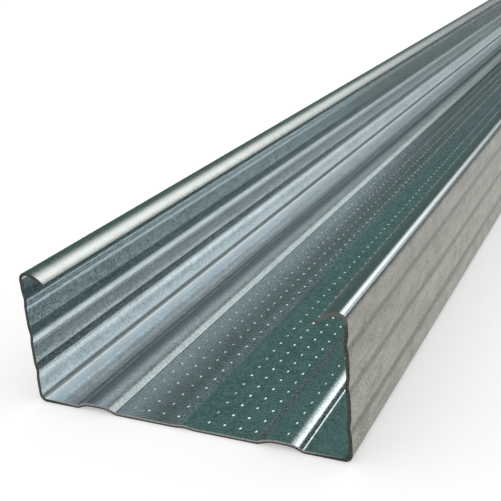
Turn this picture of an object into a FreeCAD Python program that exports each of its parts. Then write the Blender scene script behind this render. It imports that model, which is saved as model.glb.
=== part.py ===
"""Ceiling channel: a roll-formed galvanised steel profile that carries a plasterboard ceiling.

It is one strip of thin sheet, bent along its whole length: a ribbed web that the boards are
screwed to, two flanges stiffened by creases, and a curled lip along the top of each flange
that the hangers snap under. Sizes are in millimetres and degrees. The channel lies on its
web with the open side up, X across it, Y along it, and the origin under its middle.
"""
import FreeCAD
import Part
import math
import os

# Overall sizes
length = 2600.0
width = 60.0
height = 25.5
sheet = 0.6

# Web: two ribs and a shallow bead along the centre line, all raised to the inside. A rib's top is
# measured between the sharp corners of its two slopes, and its shoulders are rounder than its feet
rib_offset = 17.9
rib_height = 0.8
rib_top = 4.25
rib_inner_slope = 20.0
rib_outer_slope = 25.0
rib_shoulder_inside_radius = 5.4
rib_foot_inside_radius = 1.2
bead_half_width = 2.0
bead_angle = 7.0
bead_inside_radius = 2.5

# Flanges: the bend up from the web, and creases pressed to the inside, spread evenly between the
# lowest one's level above the underside and the highest one's depth below the crest of the lip.
# A crease's upper side leans by the crease angle. Its lower side is shorter, so it leans more, and it
# runs out into the flange in a wide bend
corner_inside_radius = 0.9
crease_count = 3
lowest_crease_level = 6.1
highest_crease_depth = 5.3
crease_lower_width = 1.5
crease_upper_width = 1.8
crease_angle = 8.0
crease_inside_radius = 2.0
crease_runout_inside_radius = 8.0

# Lips: a tight bend inwards at the top of the flange, then a wider curl down to the free edge
lip_bend_inside_radius = 1.0
lip_bend_angle = 100.0
lip_curl_inside_radius = 4.8
lip_curl_angle = 40.0

# The section is drawn as the mid-line of the sheet, so a bend's radius there is half a sheet
# larger than the radius on its inside. Points closer than same_point are one point.
half_sheet = sheet / 2
flange_wall = width / 2 - half_sheet
same_point = 1e-6


def mid_radius(inside_radius):
    return inside_radius + half_sheet


def fold_height(half_width, angle):
    """How far a fold's sharp ridge would stand up from the flat sheet beside it."""
    return half_width * math.tan(math.radians(angle))


def slope_width(rise, angle):
    """Width across the strip that a slope needs for its rise."""
    return rise / math.tan(math.radians(angle))


def setback(angle, radius):
    """Distance from a sharp corner to where its bend begins."""
    return radius * math.tan(math.radians(angle) / 2)


def corner(x, z, radius=0.0):
    """A corner of the mid-line, with the radius that it is bent to. The ends have none."""
    return FreeCAD.Vector(x, -length / 2, z), radius


def web_corners():
    """Mid-line of half the web, from the centre line to the foot of the outer rib side."""
    bead_radius = mid_radius(bead_inside_radius)
    shoulder_radius = mid_radius(rib_shoulder_inside_radius)
    foot_radius = mid_radius(rib_foot_inside_radius)
    rib_top_level = half_sheet + rib_height
    rib_inner_edge = rib_offset - rib_top / 2
    rib_outer_edge = rib_offset + rib_top / 2
    return [
        corner(0, half_sheet + fold_height(bead_half_width, bead_angle), bead_radius),
        corner(bead_half_width, half_sheet, bead_radius),
        corner(rib_inner_edge - slope_width(rib_height, rib_inner_slope), half_sheet, foot_radius),
        corner(rib_inner_edge, rib_top_level, shoulder_radius),
        corner(rib_outer_edge, rib_top_level, shoulder_radius),
        corner(rib_outer_edge + slope_width(rib_height, rib_outer_slope), half_sheet, foot_radius),
    ]


def flange_corners():
    """Mid-line of a flange, from its bend at the web up through the creases."""
    crease_radius = mid_radius(crease_inside_radius)
    runout_radius = mid_radius(crease_runout_inside_radius)
    ridge = flange_wall - fold_height(crease_upper_width, crease_angle)
    corners = [corner(flange_wall, half_sheet, mid_radius(corner_inside_radius))]
    spread = height - highest_crease_depth - lowest_crease_level
    for number in range(crease_count):
        level = lowest_crease_level + spread * number / max(crease_count - 1, 1)
        corners.append(corner(flange_wall, level - crease_lower_width, runout_radius))
        corners.append(corner(ridge, level, crease_radius))
        corners.append(corner(flange_wall, level + crease_upper_width, crease_radius))
    return corners


def lip_corners():
    """Mid-line of a lip: its tight bend and its curl follow each other with no flat between."""
    bend_radius = mid_radius(lip_bend_inside_radius)
    curl_radius = mid_radius(lip_curl_inside_radius)
    bend_setback = setback(lip_bend_angle, bend_radius)
    curl_setback = setback(lip_curl_angle, curl_radius)
    crest = height - half_sheet
    bend_corner = FreeCAD.Vector(flange_wall, 0, crest - bend_radius + bend_setback)
    curl_corner = bend_corner + from_upright(lip_bend_angle) * (bend_setback + curl_setback)
    free_edge = curl_corner + from_upright(lip_bend_angle + lip_curl_angle) * curl_setback
    return [
        corner(bend_corner.x, bend_corner.z, bend_radius),
        corner(curl_corner.x, curl_corner.z, curl_radius),
        corner(free_edge.x, free_edge.z),
    ]


def from_upright(angle):
    """Direction that leans inwards from straight up by an angle."""
    return FreeCAD.Vector(-math.sin(math.radians(angle)), 0, math.cos(math.radians(angle)))


def mid_line():
    """Corners of the whole section, from the left lip's free edge to the right one's."""
    right = web_corners() + flange_corners() + lip_corners()
    left = [corner(-point.x, point.z, radius) for point, radius in right[1:]]
    return left[::-1] + right


def heading(start, end):
    return (end - start).normalize()


def left_of(direction):
    return FreeCAD.Vector(-direction.z, 0, direction.x)


def sheet_face(corners, shift):
    """Straight runs and bends of the face that lies shift to the left of the mid-line.

    Gives the edges in order, and the points where they start and end.
    """
    points = [point for point, radius in corners]
    start = points[0] + left_of(heading(points[0], points[1])) * shift
    end = points[-1] + left_of(heading(points[-2], points[-1])) * shift
    edges = []
    reached = start
    for before, here, after in zip(corners, corners[1:], corners[2:]):
        point, radius = here
        arriving = heading(before[0], point)
        leaving = heading(point, after[0])
        turn = math.atan2(left_of(arriving).dot(leaving), arriving.dot(leaving))
        to_centre = math.copysign(radius, turn)
        bend_start = point - arriving * setback(abs(math.degrees(turn)), radius)
        centre = bend_start + left_of(arriving) * to_centre
        halfway = (left_of(arriving) + left_of(leaving)).normalize()
        arc = [centre + side * (shift - to_centre) for side in (left_of(arriving), halfway, left_of(leaving))]
        edges += straight_run(reached, arc[0])
        edges.append(Part.Arc(*arc).toShape())
        reached = arc[2]
    edges += straight_run(reached, end)
    return edges, start, end


def straight_run(start, end):
    """One straight edge, or none where two bends follow each other directly."""
    if start.isEqual(end, same_point):
        return []
    return [Part.LineSegment(start, end).toShape()]


def ceiling_channel():
    """The strip's section between its two faces, drawn out along the length."""
    corners = mid_line()
    inner, inner_start, inner_end = sheet_face(corners, half_sheet)
    outer, outer_start, outer_end = sheet_face(corners, -half_sheet)
    left_edge = Part.LineSegment(outer_start, inner_start).toShape()
    right_edge = Part.LineSegment(inner_end, outer_end).toShape()
    outline = Part.Wire(Part.sortEdges(inner + [right_edge] + outer[::-1] + [left_edge])[0])
    return Part.Face(outline).extrude(FreeCAD.Vector(0, length, 0))


os.makedirs("parts", exist_ok=True)
channel = ceiling_channel()
channel.exportStep("parts/ceiling_channel.step")

box = channel.BoundBox
print("ceiling_channel", channel.ShapeType, "valid", channel.isValid(), "faces", len(channel.Faces))
print("size", round(box.XLength, 4), round(box.YLength, 4), round(box.ZLength, 4), "lowest", round(box.ZMin, 4))
print("volume", round(channel.Volume, 1), "mouth between the lips", round(2 * lip_corners()[-1][0].x, 3))
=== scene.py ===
# %% [markdown]
# # A ceiling channel of galvanised steel
#
# The real object is one strip of zinc-coated sheet, 0.6 mm thick, that a row of rolls has bent into
# a channel: a web with two ribs and rows of small pimples, two flanges with creases, and a curled
# lip along the top of each flange. This lesson makes its looks in Blender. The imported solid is
# loaded first. It says where the channel lies and how large it is, and nothing here moves it.

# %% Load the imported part
import math

import bpy
import numpy as np
from mathutils import Matrix, Vector


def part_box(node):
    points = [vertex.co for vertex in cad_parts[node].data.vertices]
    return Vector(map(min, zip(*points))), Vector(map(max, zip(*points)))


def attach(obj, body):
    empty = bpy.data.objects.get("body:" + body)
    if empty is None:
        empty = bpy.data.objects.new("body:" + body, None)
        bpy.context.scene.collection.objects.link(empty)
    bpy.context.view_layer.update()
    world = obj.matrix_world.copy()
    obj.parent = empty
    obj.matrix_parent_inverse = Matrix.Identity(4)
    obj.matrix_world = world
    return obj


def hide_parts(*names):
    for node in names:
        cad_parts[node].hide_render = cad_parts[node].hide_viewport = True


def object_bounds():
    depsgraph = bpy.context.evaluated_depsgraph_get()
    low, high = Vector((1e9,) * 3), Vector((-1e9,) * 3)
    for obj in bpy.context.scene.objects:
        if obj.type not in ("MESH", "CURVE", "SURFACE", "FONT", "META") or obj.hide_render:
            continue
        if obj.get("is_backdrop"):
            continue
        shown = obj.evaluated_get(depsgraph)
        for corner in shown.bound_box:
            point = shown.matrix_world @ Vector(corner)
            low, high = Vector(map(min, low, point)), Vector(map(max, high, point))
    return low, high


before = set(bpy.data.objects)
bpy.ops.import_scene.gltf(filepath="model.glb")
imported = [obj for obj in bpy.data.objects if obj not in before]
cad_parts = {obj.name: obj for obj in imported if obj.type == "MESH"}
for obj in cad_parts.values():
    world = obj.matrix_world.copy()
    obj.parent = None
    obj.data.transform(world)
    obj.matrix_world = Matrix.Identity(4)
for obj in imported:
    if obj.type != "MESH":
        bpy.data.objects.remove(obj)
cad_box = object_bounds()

node_name = "ceiling_channel"
low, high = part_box(node_name)
length = high.y - low.y
width = high.x - low.x
height = high.z - low.z
print("channel", [round(side, 4) for side in (width, length, height)], "m")

# %% [markdown]
# ## The section as a folding plan
#
# A sheet-metal worker describes a bent strip by the corners that its middle line would have if
# they were sharp, and by the radius that each corner is bent to. The same plan works here. It could
# be read from the solid's triangles, but those are coarse, and a smooth metal shows each of them in
# its reflections. So the section is folded again from the same sizes, with fine arcs.

# %% Sizes of the strip
mm = 0.001
half_sheet = 0.3 * mm
flange_wall = width / 2 - half_sheet

rib_offset = 17.9 * mm
rib_height = 0.8 * mm
rib_top = 4.25 * mm
rib_inner_slope = math.radians(20)
rib_outer_slope = math.radians(25)
rib_shoulder_radius = 5.4 * mm + half_sheet
rib_foot_radius = 1.2 * mm + half_sheet

bead_half_width = 2.0 * mm
bead_angle = math.radians(7)
bead_radius = 2.5 * mm + half_sheet

corner_radius = 0.9 * mm + half_sheet
crease_levels = np.linspace(6.1 * mm, height - 5.3 * mm, 3)
crease_lower_width = 1.5 * mm
crease_upper_width = 1.8 * mm
crease_angle = math.radians(8)
crease_radius = 2.0 * mm + half_sheet
runout_radius = 8.0 * mm + half_sheet

lip_bend_radius = 1.0 * mm + half_sheet
lip_bend_angle = math.radians(100)
lip_curl_radius = 4.8 * mm + half_sheet
lip_curl_angle = math.radians(40)
print("creases at", np.round(crease_levels / mm, 2), "mm")

# %% [markdown]
# ## Corners of web, flange and lip
#
# The web, a flange and a lip each have their own row of corners, from the centre line outwards, and
# the left half of the channel mirrors the right one. The section could also be drawn by hand as a
# curve, but its points would be loose numbers. Here each corner follows from sizes that have names.

# %% Fold the section
def left_of(direction):
    return Vector((-direction.y, direction.x))


def setback(angle, radius):
    """Distance from a sharp corner to where its bend begins."""
    return radius * math.tan(angle / 2)


def corner(x, z, radius=0.0):
    return Vector((x, z)), radius


def web_corners():
    """Half the web, from the bead on the centre line to the foot of the rib's outer side."""
    top = half_sheet + rib_height
    inner_edge = rib_offset - rib_top / 2
    outer_edge = rib_offset + rib_top / 2
    return [
        corner(0, half_sheet + bead_half_width * math.tan(bead_angle), bead_radius),
        corner(bead_half_width, half_sheet, bead_radius),
        corner(inner_edge - rib_height / math.tan(rib_inner_slope), half_sheet, rib_foot_radius),
        corner(inner_edge, top, rib_shoulder_radius),
        corner(outer_edge, top, rib_shoulder_radius),
        corner(outer_edge + rib_height / math.tan(rib_outer_slope), half_sheet, rib_foot_radius),
    ]


def flange_corners():
    """A flange with its creases, pressed to the inside, which run out downwards in a wide bend."""
    corners = [corner(flange_wall, half_sheet, corner_radius)]
    ridge = flange_wall - crease_upper_width * math.tan(crease_angle)
    for level in crease_levels:
        corners.append(corner(flange_wall, level - crease_lower_width, runout_radius))
        corners.append(corner(ridge, level, crease_radius))
        corners.append(corner(flange_wall, level + crease_upper_width, crease_radius))
    return corners


def lip_corners():
    """A lip: a tight bend inwards, then a wider curl down to the free edge."""
    bend_setback = setback(lip_bend_angle, lip_bend_radius)
    curl_setback = setback(lip_curl_angle, lip_curl_radius)
    end_angle = lip_bend_angle + lip_curl_angle
    bend = Vector((flange_wall, height - half_sheet - lip_bend_radius + bend_setback))
    inwards = Vector((-math.sin(lip_bend_angle), math.cos(lip_bend_angle)))
    down = Vector((-math.sin(end_angle), math.cos(end_angle)))
    curl = bend + inwards * (bend_setback + curl_setback)
    return [(bend, lip_bend_radius), (curl, lip_curl_radius), (curl + down * curl_setback, 0.0)]


right_half = web_corners() + flange_corners() + lip_corners()
left_half = [(Vector((-point.x, point.y)), radius) for point, radius in right_half[1:]]
fold_plan = left_half[::-1] + right_half
print("folding plan with", len(fold_plan), "corners")

# %% [markdown]
# ## From sharp corners to bends
#
# Each bend becomes a fan of short steps. A Bevel modifier could round the corners too, but it would
# not say which way the sheet faces. Here that direction is kept at every step, because it is known
# exactly. These directions later become the normals of the mesh, so that the reflections run
# smoothly over the bends although the steps are straight.

# %% Walk along the middle of the sheet
bend_step = math.radians(6)
same_point = 1e-7


def walk(plan):
    """Points along the bent middle line, and the direction that the inner face looks in at each."""
    arriving = (plan[1][0] - plan[0][0]).normalized()
    points = [plan[0][0]]
    facings = [left_of(arriving)]
    for (point, radius), (after, _) in zip(plan[1:], plan[2:]):
        leaving = (after - point).normalized()
        turn = math.atan2(left_of(arriving).dot(leaving), arriving.dot(leaving))
        signed_radius = math.copysign(radius, turn)
        start = point - arriving * setback(abs(turn), radius)
        centre = start + left_of(arriving) * signed_radius
        count = max(1, math.ceil(abs(turn) / bend_step))
        for number in range(count + 1):
            facing = Matrix.Rotation(turn * number / count, 2) @ left_of(arriving)
            place = centre - facing * signed_radius
            if (place - points[-1]).length > same_point:
                points.append(place)
                facings.append(facing)
        arriving = leaving
    if (plan[-1][0] - points[-1]).length > same_point:
        points.append(plan[-1][0])
        facings.append(left_of(arriving))
    return np.array(points), np.array(facings)


middle, facing = walk(fold_plan)
strip_width = np.linalg.norm(np.diff(middle, axis=0), axis=1).sum()
print(len(middle), "points on the section, strip", round(strip_width / mm, 2), "mm wide before bending")

# %% [markdown]
# ## The knurl
#
# A toothed roll presses rows of pimples up into the web and onto the two ribs. They stop the point
# of a screw from slipping. The roll ran a little to one side, so the columns lie off centre. An
# Array modifier could repeat one pimple, but it would only lie on the sheet. These are pressed into
# it, so their places are needed before the sheet is laid out.

# %% Places of the pimples
column_pitch = 2.95 * mm
column_steps = 1, 2, 3, 4, 6
knurl_shift = 0.4 * mm
row_pitch = 3.389 * mm
first_row = 2.59 * mm

row_count = int((length - first_row - row_pitch / 2) / row_pitch) + 1
rows = low.y + first_row + row_pitch * np.arange(row_count)
steps_out = [column_pitch * number for number in column_steps]
columns = [side * step + knurl_shift for side in (-1, 1) for step in steps_out]
print(row_count, "rows of", len(columns), "pimples")

# %% [markdown]
# ## Bands for the pimples
#
# Each column of pimples needs an even band of sheet to stand on. The Knife tool or a Boolean could
# cut the web beside the columns, but both leave uneven triangles, which show in a mirror finish. The
# section is still only a row of points here, so a cut is one more point in it, and the band between
# two cuts is flat because it has no points inside.

# %% Cut the web into bands
flat_start = bead_half_width + 0.05 * mm
flat_end = 13.2 * mm
rib_band = 0.5 * mm


def band_limits(column):
    """Where the band of a column starts and ends across the web."""
    if abs(column) > flat_end:
        return [column - rib_band, column + rib_band]
    reach = np.array([abs(column) - column_pitch / 2, abs(column) + column_pitch / 2])
    return sorted(math.copysign(1, column) * reach.clip(flat_start, flat_end))


def web_part(points):
    """Numbers of the points on the web, from left to right."""
    on_web = np.abs(points[:, 0]) < flange_wall - 2 * corner_radius
    return np.flatnonzero(on_web & (points[:, 1] < half_sheet + 2 * rib_height))


def with_cuts(points, facings, limits):
    """The section with a point at both limits of every band and none inside it."""
    web = web_part(points)
    x = points[web, 0]
    cuts = np.unique(np.round(limits, 9))
    both = np.column_stack([points, facings])
    at_cuts = np.column_stack([np.interp(cuts, x, both[web, number]) for number in range(4)])
    inside = [(x > start - same_point) & (x < end + same_point) for start, end in limits]
    new_web = np.concatenate([both[web][~np.any(inside, axis=0)], at_cuts])
    new_web = new_web[np.argsort(new_web[:, 0])]
    both = np.concatenate([both[:web[0]], new_web, both[web[-1] + 1:]])
    lengths = np.linalg.norm(both[:, 2:], axis=1, keepdims=True)
    return both[:, :2], both[:, 2:] / lengths


middle, facing = with_cuts(middle, facing, [band_limits(column) for column in columns])
web = web_part(middle)
bands = {int(web[np.searchsorted(middle[web, 0], column) - 1]): column for column in columns}
print(len(middle), "points after the cuts, with", len(bands), "bands")

# %% [markdown]
# ## A skin of triangles
#
# The sheet is one closed mesh, as the real strip is one piece: an inner face, an outer face, the
# cut ends and the free edges of the lips. A Solidify modifier could thicken a single surface, but it
# can't press pimples into one side only, so both faces are laid out from numpy arrays. The small
# class below collects points and triangles. Each point has a normal, and a triangle may have normals
# of its own. Each triangle also belongs to one part of the strip, which later gets its finish.

# %% Collect points and triangles
class Skin:
    def __init__(self):
        self.points = []
        self.normals = []
        self.count = 0
        self.patches = []

    def add_points(self, points, normals):
        """Adds points with their normals, and gives their numbers."""
        self.points.append(points)
        self.normals.append(np.broadcast_to(normals, points.shape))
        self.count += len(points)
        return np.arange(self.count - len(points), self.count)

    def add_triangles(self, triangles, part, normals=None):
        self.patches.append((np.asarray(triangles).reshape(-1, 3), part, normals))

    def triangle_count(self):
        return sum(len(patch) for patch, part, own in self.patches)

    def gathered(self):
        """Everything as arrays. A triangle that looks away from its normals is turned over."""
        points = np.concatenate(self.points)
        smooth = np.concatenate(self.normals)
        triangles = np.concatenate([patch for patch, part, own in self.patches])
        parts = np.concatenate([np.full(len(patch), part) for patch, part, own in self.patches])
        normals = np.concatenate([
            smooth[patch] if own is None else np.broadcast_to(own, patch.shape + (3,))
            for patch, part, own in self.patches
        ])
        first, second, third = (points[triangles[:, number]] for number in range(3))
        front = np.cross(second - first, third - first)
        turned = (front * normals.sum(axis=1)).sum(axis=1) < 0
        triangles[turned] = triangles[turned][:, ::-1]
        normals[turned] = normals[turned][:, ::-1]
        return points, triangles, normals, parts


inner_part, outer_part, cut_part, polished_part = range(4)
skin = Skin()
print("an empty skin, with", skin.count, "points")

# %% [markdown]
# ## Chains along the channel
#
# Each point of the section draws a chain of points along the channel, once for the inner face and
# once for the outer one. Extruding the section would give every chain the same stops. Here a chain
# beside a band of pimples has a stop at every row, and elsewhere a few stops are enough, because
# nothing changes along the length. That saves most of the triangles.

# %% Chains of points
coarse_steps = 16
row_cuts = np.append(rows - row_pitch / 2, rows[-1] + row_pitch / 2)
fine_stops = np.concatenate([[low.y], row_cuts, [high.y]])
coarse_rows = np.linspace(0, len(fine_stops) - 1, coarse_steps + 1).round().astype(int)
coarse_stops = fine_stops[coarse_rows]
beside_band = set(bands) | {band + 1 for band in bands}


def chain(number, side, stops):
    """One line of points along the channel, on the inner face (side 1) or the outer one (-1)."""
    normal = np.array([side * facing[number, 0], 0, side * facing[number, 1]])
    x, z = middle[number] + side * half_sheet * facing[number]
    points = np.column_stack([np.full(len(stops), x), stops, np.full(len(stops), z)])
    return skin.add_points(points, normal)


inner_stops = [fine_stops if number in beside_band else coarse_stops for number in range(len(middle))]
inner_chains = [chain(number, 1, stops) for number, stops in enumerate(inner_stops)]
outer_chains = [chain(number, -1, coarse_stops) for number in range(len(middle))]
print(len(inner_chains) + len(outer_chains), "chains with", skin.count, "points")

# %% [markdown]
# ## Zipping two chains
#
# The plain strips between the bands come first. Neighbouring chains may have different numbers of
# stops, so a grid of quads won't do. They are zipped together: the chain whose next stop comes first
# moves on, and each move adds a triangle. Bridge Edge Loops does much the same in edit mode, but it
# chooses the pairs by itself.

# %% Zip the plain strips
def zipped(one, one_stops, two, two_stops):
    """Triangles between two chains that run side by side."""
    triangles = []
    here = there = 0
    while here < len(one) - 1 or there < len(two) - 1:
        one_done = here == len(one) - 1
        if one_done or (there < len(two) - 1 and two_stops[there + 1] <= one_stops[here + 1]):
            triangles.append((one[here], two[there], two[there + 1]))
            there += 1
        else:
            triangles.append((one[here], two[there], one[here + 1]))
            here += 1
    return triangles


for number in range(len(middle) - 1):
    after = number + 1
    outer = zipped(outer_chains[number], coarse_stops, outer_chains[after], coarse_stops)
    skin.add_triangles(outer, outer_part)
    if number not in bands:
        inner = zipped(inner_chains[number], inner_stops[number], inner_chains[after], inner_stops[after])
        skin.add_triangles(inner, inner_part)
print(skin.triangle_count(), "triangles zipped")

# %% [markdown]
# ## Pimples
#
# A pimple is a low dome under a millimetre across. As a bump in the material it would vanish at the
# outline and in the finished mesh, so it is real geometry: a ring of eight points at its foot and one
# at its top. The normals lean outwards at the foot and stand up at the top, so that this small cone
# catches the light like a dome. Heights differ a little, as a worn roll leaves them, and two columns
# are pressed less than the rest: the one on the left rib and the first one right of the bead.

# %% Sizes of a pimple
pimple_radius = 0.45 * mm
pimple_height = 0.16 * mm
foot_lean = math.radians(44)
ring_size = 8
ring_angles = np.arange(ring_size) * 2 * math.pi / ring_size

wear_seed = 7
wear_range = 0.75, 1.1
left_rib_column = columns[len(column_steps) - 1]
first_right_column = columns[len(column_steps)]
worn_columns = {left_rib_column: 0.4, first_right_column: 0.7}
print("worn columns at", [round(column / mm, 2) for column in worn_columns], "mm")


# %% The band under a column
def in_space(flat_vectors):
    """Vectors of the section, across and up, as vectors in space."""
    flat_vectors = np.asarray(flat_vectors)
    return np.stack([flat_vectors[..., 0], 0 * flat_vectors[..., 0], flat_vectors[..., 1]], axis=-1)


class Band:
    """The flat strip of the inner face between two chains, with a column of pimples on it."""

    def __init__(self, number, column):
        pair = [number, number + 1]
        self.press = worn_columns.get(column, 1.0)
        self.chains = [inner_chains[end] for end in pair]
        self.edges = in_space(middle[pair] + half_sheet * facing[pair])
        self.looks = in_space(facing[pair])
        self.width = np.linalg.norm(self.edges[1] - self.edges[0])
        self.sideways = (self.edges[1] - self.edges[0]) / self.width
        self.upright = np.cross(self.sideways, (0, 1, 0))
        self.column = (column - self.edges[0, 0]) / self.sideways[0]

    def at(self, away):
        """Place and facing at a distance from the middle of the column."""
        share = (self.column + away) / self.width
        look = self.looks[0] + share * (self.looks[1] - self.looks[0])
        return self.edges[0] + share * (self.edges[1] - self.edges[0]), look / np.linalg.norm(look)


knurled_bands = [Band(number, column) for number, column in sorted(bands.items())]
print("bands", [round(float(band.width) / mm, 2) for band in knurled_bands], "mm wide")


# %% Press the pimples
def pimple_points(band, share):
    """Adds the feet and tops of one column. Gives their numbers and their normals."""
    lean = foot_lean * share[:, None]
    along = np.column_stack([0 * rows, rows, 0 * rows])
    ring = np.empty((row_count, ring_size), int)
    foot_normals = []
    for step, angle in enumerate(ring_angles):
        place, look = band.at(pimple_radius * math.cos(angle))
        feet = place + along + [0, pimple_radius * math.sin(angle), 0]
        ring[:, step] = skin.add_points(feet, look)
        outwards = math.cos(angle) * band.sideways + np.array([0, math.sin(angle), 0])
        foot_normals.append(np.sin(lean) * outwards + np.cos(lean) * look)
    place, look = band.at(0)
    tops = place + along + pimple_height * share[:, None] * band.upright
    top = skin.add_points(tops, look)
    return ring, foot_normals, top, np.broadcast_to(look, (row_count, 3))


def pimple_faces(band, ring, foot_normals, top, top_normals):
    """Fills the cells of one column: a flat rim round the foot of each pimple, and the pimple."""
    left, right = band.chains
    rim = [right[2:-1], left[2:-1], left[1:-2], right[1:-2]]
    quarter = ring_size // 4
    for turn, cell_corner in enumerate(rim):
        start = turn * quarter
        skin.add_triangles(np.column_stack([rim[turn - 1], cell_corner, ring[:, start]]), inner_part)
        for step in range(start, start + quarter):
            after = (step + 1) % ring_size
            skin.add_triangles(np.column_stack([ring[:, step], cell_corner, ring[:, after]]), inner_part)
            slope = np.column_stack([ring[:, step], ring[:, after], top])
            normals = np.stack([foot_normals[step], foot_normals[after], top_normals], axis=1)
            skin.add_triangles(slope, inner_part, normals)
    for stop in (0, len(fine_stops) - 2):
        one, two = left[stop:stop + 2], right[stop:stop + 2]
        skin.add_triangles([(one[0], two[0], two[1]), (one[0], two[1], one[1])], inner_part)


wear = np.random.default_rng(wear_seed)
for band in knurled_bands:
    share = wear.uniform(*wear_range, row_count) * band.press
    pimple_faces(band, *pimple_points(band, share))
print(row_count * len(columns), "pimples pressed,", skin.triangle_count(), "triangles so far")

# %% [markdown]
# ## Cut ends and free edges
#
# Where the strip was sheared, its bare thickness shows. These narrow faces join the inner face to
# the outer one and close the mesh. Fill would do it in edit mode, with triangles of its own choice.
# On the web the blade came from above: it polished the upper half of the thickness before the lower
# half tore, so these halves are faces of their own.

# %% Close the ends and the lip edges
def end_cap(stop, normal):
    """The cut end, with a polished upper half along the web that tapers out at the corners."""
    outer_end = [line[stop] for line in outer_chains]
    inner_end = [line[stop] for line in inner_chains]
    parting = list(inner_end)
    halves = np.column_stack([middle[web, 0], np.full(len(web), coarse_stops[stop]), middle[web, 1]])
    for number, new_point in zip(web, skin.add_points(halves, normal)):
        parting[number] = new_point
    for lower, upper, part in ((outer_end, parting, cut_part), (parting, inner_end, polished_part)):
        for number in range(len(middle) - 1):
            after = number + 1
            one = lower[number], lower[after], upper[after]
            two = lower[number], upper[after], upper[number]
            triangles = [triangle for triangle in (one, two) if len(set(triangle)) == 3]
            skin.add_triangles(np.array(triangles, int), part, normal)


end_cap(0, np.array([0.0, -1.0, 0.0]))
end_cap(-1, np.array([0.0, 1.0, 0.0]))
for number, beside in ((0, 1), (-1, -2)):
    away = middle[number] - middle[beside]
    away = away / np.linalg.norm(away)
    edge = zipped(outer_chains[number], coarse_stops, inner_chains[number], coarse_stops)
    skin.add_triangles(edge, cut_part, np.array([away[0], 0, away[1]]))
print("skin closed,", skin.triangle_count(), "triangles")

# %% [markdown]
# ## One mesh
#
# The real channel is one piece, so it becomes one object. The exact normals go in as custom normals.
# Shade Smooth alone would work them out from the triangles, and would round off the cut edges.

# %% Turn the arrays into one mesh
points, triangles, normals, parts = skin.gathered()
mesh = bpy.data.meshes.new("ceiling_channel_sheet")
mesh.from_pydata(points.tolist(), [], triangles.tolist())
mesh.polygons.foreach_set("use_smooth", np.ones(len(triangles), bool))
mesh.polygons.foreach_set("material_index", parts.astype(np.int32))
mesh.normals_split_custom_set(normals.reshape(-1, 3))
scene = bpy.context.scene
sheet_piece = bpy.data.objects.new("ceiling_channel_sheet", mesh)
scene.collection.objects.link(sheet_piece)
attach(sheet_piece, "root")
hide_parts(node_name)
print(len(triangles), "triangles,", len(points), "points")

# %% [markdown]
# ## Shader arithmetic
#
# A material is a graph of nodes, and sums are easier to read as sums. The class Shade wraps the
# output of a node, so that plain arithmetic on it adds Math nodes. Every other node comes from one
# method, which takes the node's type, its settings and the values of its sockets.

# %% Write shader maths as plain sums
class Shade:
    """An output of a shader node, which can be added, taken away and multiplied."""

    def __init__(self, nodes, socket):
        self.nodes = nodes
        self.socket = socket

    def maths(self, operation, one, two):
        return self.nodes.add("ShaderNodeMath", {"operation": operation}, {0: one, 1: two})

    def __add__(self, other):
        return self.maths("ADD", self, other)

    def __abs__(self):
        return self.maths("ABSOLUTE", self, 0.0)

    def __sub__(self, other):
        return self.maths("SUBTRACT", self, other)

    def __rsub__(self, other):
        return self.maths("SUBTRACT", other, self)

    def __mul__(self, other):
        return self.maths("MULTIPLY", self, other)

    __radd__ = __add__
    __rmul__ = __mul__


class ShaderNodes:
    """Adds nodes to the tree of a material or of the world."""

    def __init__(self, owner):
        owner.use_nodes = True
        self.tree = owner.node_tree
        self.tree.nodes.clear()

    def add(self, kind, settings=None, sockets=None, output=0):
        node = self.tree.nodes.new(kind)
        for name, value in (settings or {}).items():
            setattr(node, name, value)
        for name, value in (sockets or {}).items():
            if isinstance(value, Shade):
                self.tree.links.new(value.socket, node.inputs[name])
            else:
                node.inputs[name].default_value = value
        return Shade(self, node.outputs[output]) if node.outputs else None

    def mix(self, share, one, two):
        return self.add("ShaderNodeMix", {"data_type": "RGBA"}, {0: share, 6: one, 7: two}, output=2)

    def noise(self, place, scale, detail=2.0):
        return self.add("ShaderNodeTexNoise", None, {"Vector": place, "Scale": scale, "Detail": detail})

    def stretched(self, place, factors):
        return self.add("ShaderNodeVectorMath", {"operation": "MULTIPLY"}, {0: place, 1: factors})

    def parts(self, vector, names):
        """Numbers of a vector, such as X and Z."""
        return [self.add("ShaderNodeSeparateXYZ", None, {"Vector": vector}, output=name) for name in names]


# %% [markdown]
# ## Galvanised steel
#
# Zinc from a hot bath freezes on the strip in small flat crystals. Under the rolls they become a fine
# grey grain, with streaks along the length. A photograph of zinc could be laid on as a texture, but
# it would repeat along the channel. Noise at several sizes never does. On top of the grain come
# marks, some of making and handling and some painted light and shade. On a rolled strip they all run
# lengthwise, so each is a stripe, and its place is given by the distance from the centre line and the
# height above the floor.

# %% Masks and grain
grain_strength = 0.3
grain_depth = 0.02 * mm


def between(nodes, value, start, end):
    """0 below start, 1 above end, and a smooth rise from one to the other."""
    return nodes.add("ShaderNodeMapRange", {"interpolation_type": "SMOOTHSTEP"}, {
        "Value": value, "From Min": start, "From Max": end})


def plateau(nodes, value, rise, fall):
    """1 between a rise and a fall, which both have a start and an end."""
    return between(nodes, value, *rise) * (1 - between(nodes, value, *fall))


def stripe(nodes, value, middle_value, reach, core=0.3):
    """1 in the core of a stripe, falling to 0 on both sides of it."""
    return 1 - between(nodes, abs(value - middle_value), core * reach, reach)


def grain(nodes, place, scale, detail=2.0):
    """Noise with its usual middle range spread over 0 to 1."""
    return between(nodes, nodes.noise(place, scale, detail), 0.3, 0.7)


def surface_places(nodes):
    """The place on the channel, how far it lies to the right of the middle, and its height."""
    place = nodes.add("ShaderNodeTexCoord", output="Object")
    aside, level = nodes.parts(place, "XZ")
    return place, aside, level


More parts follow.
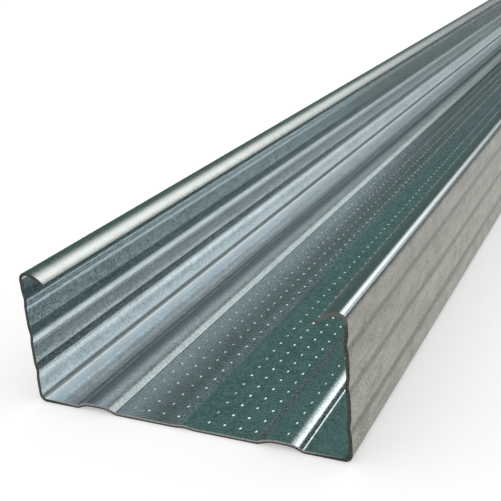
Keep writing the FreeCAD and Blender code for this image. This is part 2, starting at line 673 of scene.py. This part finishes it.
def tinted(nodes, colour, marks, tints):
    """The colour after each layer of tint in turn. A layer has the name of its mark, its cover and its
    tint.
    """
    for name, cover, tint in tints:
        colour = nodes.mix(cover * marks[name], colour, tint)
    return colour


def metal(nodes, colour, roughness, relief=None):
    """A bare metal surface, with bump where a relief is given."""
    sockets = {"Base Color": colour, "Metallic": 1.0, "Roughness": roughness}
    if relief is not None:
        sockets["Normal"] = nodes.add("ShaderNodeBump", None, {
            "Strength": grain_strength, "Distance": grain_depth, "Height": relief})
    surface = nodes.add("ShaderNodeBsdfPrincipled", None, sockets)
    nodes.add("ShaderNodeOutputMaterial", None, {"Surface": surface})


# %% [markdown]
# ## Marks on the inside
#
# Painted shade darkens the crown of the left rib and the web beside it, and the flat between that
# rib and the bead is darker, more so near the rib. From the rib to the left corner the web is dry and
# less smooth, with a lighter strip by the corner as a painted highlight, and both corners are darker
# and rougher. Painted shade greys the left rib's inner slope and darkens the bead's left side and the
# right rib's inner slope in teal, and painted highlights lie just below the ridges of the upper
# creases. All this could be painted by hand on an unwrapped sheet, but masks stay sharp at any
# distance.

# %% Where the inside is marked
web_top = 1.6 * mm, 2.6 * mm
corner_rise = flange_wall - 1.2 * mm, flange_wall - 0.7 * mm
corner_top = 0.9 * mm, 1.7 * mm
dry_rise = 14.6 * mm, 15.8 * mm
crown_rise = 16.4 * mm, 18.6 * mm
crown_fall = 19.5 * mm, 20.2 * mm
dim_flat_rise = 0.5 * mm, 6.0 * mm
dim_flat_fall = 13.0 * mm, 13.7 * mm
dim_flat_top = 0.63 * mm, 0.70 * mm
dimmer_flat_rise = 9.0 * mm, 11.5 * mm
# where the painted highlight by the left corner begins
margin_highlight_rise = 25.3 * mm, 27.0 * mm

# Stripes have a middle and a reach
# painted shade beside the left rib
rib_shade_stripe = 22.3 * mm, 1.6 * mm
bead_stripe = 1.2 * mm, 1.3 * mm
right_rib_stripe = 14.7 * mm, 1.2 * mm
left_rib_stripe = 14.5 * mm, 1.3 * mm
# painted highlights just below the upper creases
crease_highlight_drop = 0.7 * mm
crease_highlight_reach = 1.6 * mm


def inside_marks(nodes, aside, level):
    """Masks of the marks on the inside, some real and some painted light and shade."""
    to_left = -1 * aside
    on_web = 1 - between(nodes, level, *web_top)
    dry = on_web * between(nodes, to_left, *dry_rise)
    # both corners are darker and rougher
    dark_corners = between(nodes, abs(aside), *corner_rise) * (1 - between(nodes, level, *corner_top))
    # painted shade on the left rib's crown and the web beside it
    rib_shade = 0.55 * stripe(nodes, to_left, *rib_shade_stripe) + 0.9 * plateau(nodes, to_left, crown_rise, crown_fall)
    # darker on the flat between the bead and the left rib, more so near the rib
    dim_flat = plateau(nodes, to_left, dim_flat_rise, dim_flat_fall) * (1 - between(nodes, level, *dim_flat_top))
    # painted shade on the bead's left side and on the right rib's inner slope
    bead_side = stripe(nodes, to_left, *bead_stripe, core=0.5)
    rib_side = stripe(nodes, aside, *right_rib_stripe, core=0.5)
    # painted highlights just below the two upper creases
    ridges = [stripe(nodes, level, crease - crease_highlight_drop, crease_highlight_reach) for crease in crease_levels[1:]]
    return {
        "dark_corners": dark_corners,
        "rib_shade": on_web * rib_shade,
        "dim_flat": dim_flat,
        "dimmer flat": dim_flat * between(nodes, to_left, *dimmer_flat_rise),
        "slope_shade": on_web * (bead_side + rib_side),
        # painted shade on the left rib's inner slope
        "left rib slope shade": on_web * stripe(nodes, to_left, *left_rib_stripe, core=0.6),
        # painted highlight: a lighter strip by the left corner
        "left margin highlight": on_web * between(nodes, to_left, *margin_highlight_rise) * (1 - dark_corners),
        "crease highlights": ridges[0] + ridges[1],
        "dry web": dry,
        "smooth web": on_web * (1 - dry),
    }


# %% [markdown]
# ## Bright zinc
#
# The inside is still bright and mirrors the room. Its grain changes the colour, the roughness and, as
# a very shallow bump, the direction of the reflections. A mirror with no grain would look like
# chrome. Single crystals that shine differently come from the cells of a Voronoi texture.

# %% Bright zinc on the inside
zinc_dark = (0.42, 0.45, 0.46, 1)
zinc_light = (0.93, 0.97, 0.98, 1)
inside_tints = [
    ("dark_corners", 0.75, (0.10, 0.11, 0.11, 1)),
    # painted shade on the left rib's crown and beside it
    ("rib_shade", 1.0, (0.12, 0.145, 0.155, 1)),
    ("dim_flat", 0.75, (0.41, 0.455, 0.445, 1)),
    ("dimmer flat", 0.4, (0.20, 0.22, 0.21, 1)),
    # painted shade in teal on the bead's left side and the right rib's inner slope
    ("slope_shade", 0.45, (0.28, 0.40, 0.37, 1)),
    # painted shade on the left rib's inner slope
    ("left rib slope shade", 0.4, (0.30, 0.33, 0.33, 1)),
    # painted highlight: a lighter strip by the left corner
    ("left margin highlight", 0.7, (0.96, 0.98, 0.99, 1)),
    # painted highlights just below the upper creases
    ("crease highlights", 0.9, (0.96, 0.98, 0.99, 1)),
]


def bright_zinc():
    material = bpy.data.materials.new("bright_zinc")
    nodes = ShaderNodes(material)
    place, aside, level = surface_places(nodes)
    fine = grain(nodes, place, 2300.0)
    cells = nodes.add("ShaderNodeTexVoronoi", None, {"Vector": place, "Scale": 700.0}, output="Color")
    crystals = nodes.add("ShaderNodeSeparateColor", None, {"Color": cells}, output="Red")
    streaks = grain(nodes, nodes.stretched(place, (1.0, 0.03, 1.0)), 900.0)
    cloud = grain(nodes, nodes.stretched(place, (1.0, 0.4, 1.0)), 160.0)
    tone = 0.55 * fine + 0.2 * crystals + 0.12 * streaks + 0.13 * cloud
    marks = inside_marks(nodes, aside, level)
    colour = tinted(nodes, nodes.mix(tone, zinc_dark, zinc_light), marks, inside_tints)
    roughness = 0.125 + 0.04 * fine + 0.15 * marks["dark_corners"] + 0.16 * marks["dry web"]
    roughness = roughness + 0.12 * marks["slope_shade"] - 0.05 * marks["crease highlights"]
    metal(nodes, colour, roughness, fine * (1 - 0.7 * marks["smooth web"]))
    return material


inside_finish = bright_zinc()
print(inside_finish.name, "with", len(inside_tints), "tints")

# %% [markdown]
# ## Dull zinc
#
# The outside rubbed on the rolls and on other lengths in the bundle, so it is dull and a little
# olive. Painted shade darkens the ledge below each crease, and the colour is also darker along the
# foot and towards the top. The lips, over which everything slides, are worn smooth and painted
# lighter as a painted highlight, and the right one is polished round its bend down to where the
# flange begins, with a painted highlight there too. One finish for both sides of the sheet would be
# simpler, but the two sides of a real strip seldom look alike.

# %% Dull zinc on the outside
dull_dark = (0.11, 0.11, 0.092, 1)
dull_light = (0.56, 0.565, 0.50, 1)
outside_tints = [
    ("olive", 0.35, (0.38, 0.36, 0.28, 1)),
    # painted shade below each crease, and darker along the foot
    ("dark_foot_and_crease_shade", 1.0, (0.13, 0.13, 0.115, 1)),
    # darker towards the top of the flange
    ("darker_top", 0.3, (0.13, 0.13, 0.115, 1)),
    # worn smooth, and painted lighter as a painted highlight on the lips
    ("worn lips and highlight", 0.55, (0.66, 0.665, 0.66, 1)),
    # polished, and painted lighter as a painted highlight round the right lip's bend
    ("polished bend and highlight", 0.7, (0.70, 0.705, 0.685, 1)),
]
foot_top = 1.0 * mm, 3.4 * mm
# painted shade below each crease
ledge_drop = 0.7 * mm
ledge_reach = 0.8 * mm
darker_top_rise = 9.0 * mm, 20.0 * mm
lip_rise = height - 2.4 * mm, height - 1.1 * mm
bend_rise = flange_wall - 1.3 * mm, flange_wall - 0.5 * mm
bend_end = flange_wall - 0.1 * mm, flange_wall + 0.15 * mm


def outside_marks(nodes, place, aside, level, blotches):
    """Masks of the marks on the outside. The darker foot and the painted crease shade are broken up by
    blotches and specks.
    """
    # darker along the foot, then painted shade below each crease
    dark_foot_and_crease_shade = 0.3 * (1 - between(nodes, level, *foot_top))
    for crease in crease_levels:
        dark_foot_and_crease_shade = dark_foot_and_crease_shade + stripe(nodes, level, crease - ledge_drop, ledge_reach)
    specks = between(nodes, nodes.noise(place, 1100.0), 0.56, 0.66)
    worn = between(nodes, level, *lip_rise) * (1 - between(nodes, abs(aside), *bend_end))
    return {
        "olive": grain(nodes, place, 260.0),
        "dark_foot_and_crease_shade": dark_foot_and_crease_shade * (0.4 + 0.25 * blotches + 0.35 * specks),
        "darker_top": between(nodes, level, *darker_top_rise),
        "worn lips and highlight": worn,
        "polished bend and highlight": between(nodes, aside, *bend_rise) * worn,
    }


def dull_zinc():
    material = bpy.data.materials.new("dull_zinc")
    nodes = ShaderNodes(material)
    place, aside, level = surface_places(nodes)
    fine = grain(nodes, place, 2000.0, 3.0)
    blotches = grain(nodes, nodes.stretched(place, (1.0, 0.6, 1.0)), 420.0)
    streaks = grain(nodes, nodes.stretched(place, (1.0, 0.04, 1.0)), 700.0)
    tone = 0.55 * fine + 0.3 * blotches + 0.15 * streaks
    marks = outside_marks(nodes, place, aside, level, blotches)
    colour = tinted(nodes, nodes.mix(tone, dull_dark, dull_light), marks, outside_tints)
    roughness = 0.33 + 0.06 * fine - 0.12 * marks["worn lips and highlight"] - 0.04 * marks["polished bend and highlight"]
    metal(nodes, colour, roughness)
    return material


outside_finish = dull_zinc()
print(outside_finish.name, "with", len(outside_tints), "tints")

# %% [markdown]
# ## Sheared edges
#
# The blade leaves bare steel behind. Where the sheet tore, the edge is rough and dull, and it is
# painted much darker as painted shade. Where the blade slid along it, it is lighter. The right lip
# kept a brownish burr. One plain grey would do for edges this thin, but they draw the outline of the
# channel, and an even line looks like a drawing.

# %% Finishes of the sheared edges
burr_tint = (0.15, 0.14, 0.125, 1)
burr_cover = 0.8
burr_rise = 24.0 * mm, 25.0 * mm
burr_foot = height - 2.6 * mm, height - 1.4 * mm


def sheared_edge(name, dark, light):
    material = bpy.data.materials.new(name)
    nodes = ShaderNodes(material)
    place, aside, level = surface_places(nodes)
    tears = grain(nodes, nodes.stretched(place, (1.0, 0.2, 1.0)), 2600.0)
    burr = between(nodes, aside, *burr_rise) * between(nodes, level, *burr_foot)
    colour = nodes.mix(burr_cover * burr, nodes.mix(tears, dark, light), burr_tint)
    metal(nodes, colour, 0.35 + 0.2 * tears)
    return material


# painted shade: the torn faces are painted much darker than bare steel
shaded_torn_edge = sheared_edge("shaded_torn_edge", (0.035, 0.034, 0.031, 1), (0.10, 0.097, 0.089, 1))
polished_edge = sheared_edge("polished_edge", (0.22, 0.21, 0.195, 1), (0.44, 0.43, 0.40, 1))
finishes = [inside_finish, outside_finish, shaded_torn_edge, polished_edge]
for finish in finishes:
    mesh.materials.append(finish)
print("finishes:", [finish.name for finish in finishes])

# %% [markdown]
# ## A white set
#
# The channel lies on a plain white floor. More light would make the floor white too, but it would
# bleach the metal. So the floor takes shadows as any matt surface does, and adds a little light of
# its own, only for the camera and for reflections.

# %% Floor
floor_gap = 0.05 * mm
floor_reach = 30.0
floor_white = 0.8
floor_glow = 0.32


def seen_directly(nodes):
    """1 for rays from the camera, or by way of metal or glass, and 0 for light on matt surfaces."""
    names = ("Is Camera Ray", "Is Glossy Ray", "Is Transmission Ray")
    camera, glossy, clear = (nodes.add("ShaderNodeLightPath", output=name) for name in names)
    return camera + glossy + clear


def floor_material():
    material = bpy.data.materials.new("white_floor")
    nodes = ShaderNodes(material)
    matt = nodes.add("ShaderNodeBsdfDiffuse", None, {"Color": (floor_white,) * 3 + (1,)})
    glow = nodes.add("ShaderNodeEmission", None, {"Strength": floor_glow * seen_directly(nodes)})
    both = nodes.add("ShaderNodeAddShader", None, {0: matt, 1: glow})
    nodes.add("ShaderNodeOutputMaterial", None, {"Surface": both})
    return material


corner_signs = (-1, -1), (1, -1), (1, 1), (-1, 1)
floor_corners = [(x * floor_reach, y * floor_reach, -floor_gap) for x, y in corner_signs]
floor_mesh = bpy.data.meshes.new("floor")
floor_mesh.from_pydata(floor_corners, [], [(0, 1, 2, 3)])
floor_mesh.materials.append(floor_material())
floor = bpy.data.objects.new("floor", floor_mesh)
scene.collection.objects.link(floor)
floor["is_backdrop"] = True
print("floor", 2 * floor_reach, "m wide")

# %% [markdown]
# ## Something to mirror
#
# Metal has hardly any look of its own: it shows what stands around it. In a white room it turns
# white, so it gets a room to mirror: a narrow window on the right, a light ceiling from there to
# straight up, and a dark green wall from there down to the left. Walls could be built as meshes, but
# they would also shade the floor. Here only reflected rays see the room, as colours of the world. A
# channel is the same all along, so what a place on it mirrors hangs on the ray's direction round
# the length, its roll: 0 degrees is to the right, 90 is straight up. Towards the room's far end the
# window stops and the rest grows dim.

# %% Colours and places in the room
dark_wall = (0.080, 0.156, 0.146, 1)
dim_wall = (0.10, 0.13, 0.14, 1)
window_light = (1.55, 1.86, 2.06, 1)
ceiling_light = (1.31, 1.40, 1.41, 1)
window_angle = math.radians(38.7)
window_reach = math.radians(4.5)
ceiling_angles = math.radians(49), math.radians(55)
far_wall_angles = math.radians(88), math.radians(111)
window_end = 0.885, 0.955
room_end = 0.91, 0.975
room_end_fade = 0.85
plain_white = (1, 1, 1, 1)
world_fill = 0.9
print("window", round(math.degrees(window_angle), 1), "degrees up on the right")


# %% The room as a world
def mirrored_room(nodes):
    """Colour of the room in the direction of a ray."""
    direction = nodes.add("ShaderNodeTexCoord", output="Generated")
    across, along, upwards = nodes.parts(direction, "XYZ")
    roll = nodes.add("ShaderNodeMath", {"operation": "ARCTAN2"}, {0: upwards, 1: across})
    window = stripe(nodes, roll, window_angle, window_reach, core=0.5)
    window = window * (1 - between(nodes, along, *window_end))
    walls = nodes.mix(window, dim_wall, window_light)
    walls = nodes.mix(between(nodes, roll, *ceiling_angles), walls, ceiling_light)
    walls = nodes.mix(between(nodes, roll, *far_wall_angles), walls, dark_wall)
    return nodes.mix(room_end_fade * between(nodes, along, *room_end), walls, dim_wall)


world = bpy.data.worlds.new("white_room")
scene.world = world
world_nodes = ShaderNodes(world)
mirrored = world_nodes.add("ShaderNodeLightPath", output="Is Glossy Ray")
seen = world_nodes.mix(mirrored, plain_white, mirrored_room(world_nodes))
strength = world_fill + (1 - world_fill) * seen_directly(world_nodes)
sky = world_nodes.add("ShaderNodeBackground", None, {"Color": seen, "Strength": strength})
world_nodes.add("ShaderNodeOutputWorld", None, {"Surface": sky})
print("room of", len(world.node_tree.nodes), "nodes")

# %% [markdown]
# ## A soft lamp
#
# The white world lights the channel from all sides, which leaves hardly any shadow. One wide lamp
# behind and above it adds a soft one on the floor in front, so that the channel seems to lie there.
# A sun lamp would be simpler, but its shadow has a hard edge.

# %% Lamp
lamp_place = Vector((0.69, 1.29, 2.09))
lamp_size = 1.3
lamp_power = 2.0
near_end = Vector((0, low.y, 0))

lamp_data = bpy.data.lights.new("back_lamp", "AREA")
lamp_data.shape = "DISK"
lamp_data.size = lamp_size
lamp_data.energy = lamp_power
lamp = bpy.data.objects.new("back_lamp", lamp_data)
lamp.location = lamp_place
lamp.rotation_mode = "QUATERNION"
lamp.rotation_quaternion = (near_end - lamp_place).to_track_quat("-Z", "Y")
lamp.visible_camera = False
scene.collection.objects.link(lamp)
print("lamp", round((near_end - lamp_place).length, 2), "m from the near end")

# %% [markdown]
# ## The camera
#
# The camera stands close to the near end and looks along the channel from its right. It could be
# turned by eye until the view looks right. Here its place, its direction and its lens come from
# fitting the channel's edges to the edges in the picture, so the two can be laid over each other.

# %% Camera
image_size = 501
focal_pixels = 892.5
sensor = 36.0
nearest_seen = 5 * mm
camera_offset = Vector((70.86, -109.8, 80.87)) * mm
ahead = Vector((-0.4224, 0.8332, -0.3569)).normalized()
upward = Vector((-0.0909, 0.3528, 0.9313))

rightward = ahead.cross(upward).normalized()
upward = rightward.cross(ahead)
camera_data = bpy.data.cameras.new("camera")
camera_data.sensor_width = sensor
camera_data.lens = focal_pixels / image_size * sensor
camera_data.clip_start = nearest_seen
camera = bpy.data.objects.new("camera", camera_data)
turned = Matrix((rightward, upward, -ahead)).transposed()
camera.matrix_world = Matrix.Translation(near_end + camera_offset) @ turned.to_4x4()
scene.collection.objects.link(camera)
scene.camera = camera
scene.view_settings.view_transform = "Standard"
print("lens", round(camera_data.lens, 2), "mm")

# %% [markdown]
# ## The two boxes
#
# A model can look right and still have the wrong size. So the box round the imported solid and the box
# round the dressed channel are printed side by side, where they can be compared. They could be read
# off in the sidebar too.

# %% Print the boxes and finish
boxes = {"cad": cad_box, "visual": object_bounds()}
for name, box in boxes.items():
    print(name, "box", [tuple(round(side, 4) for side in end) for end in box])
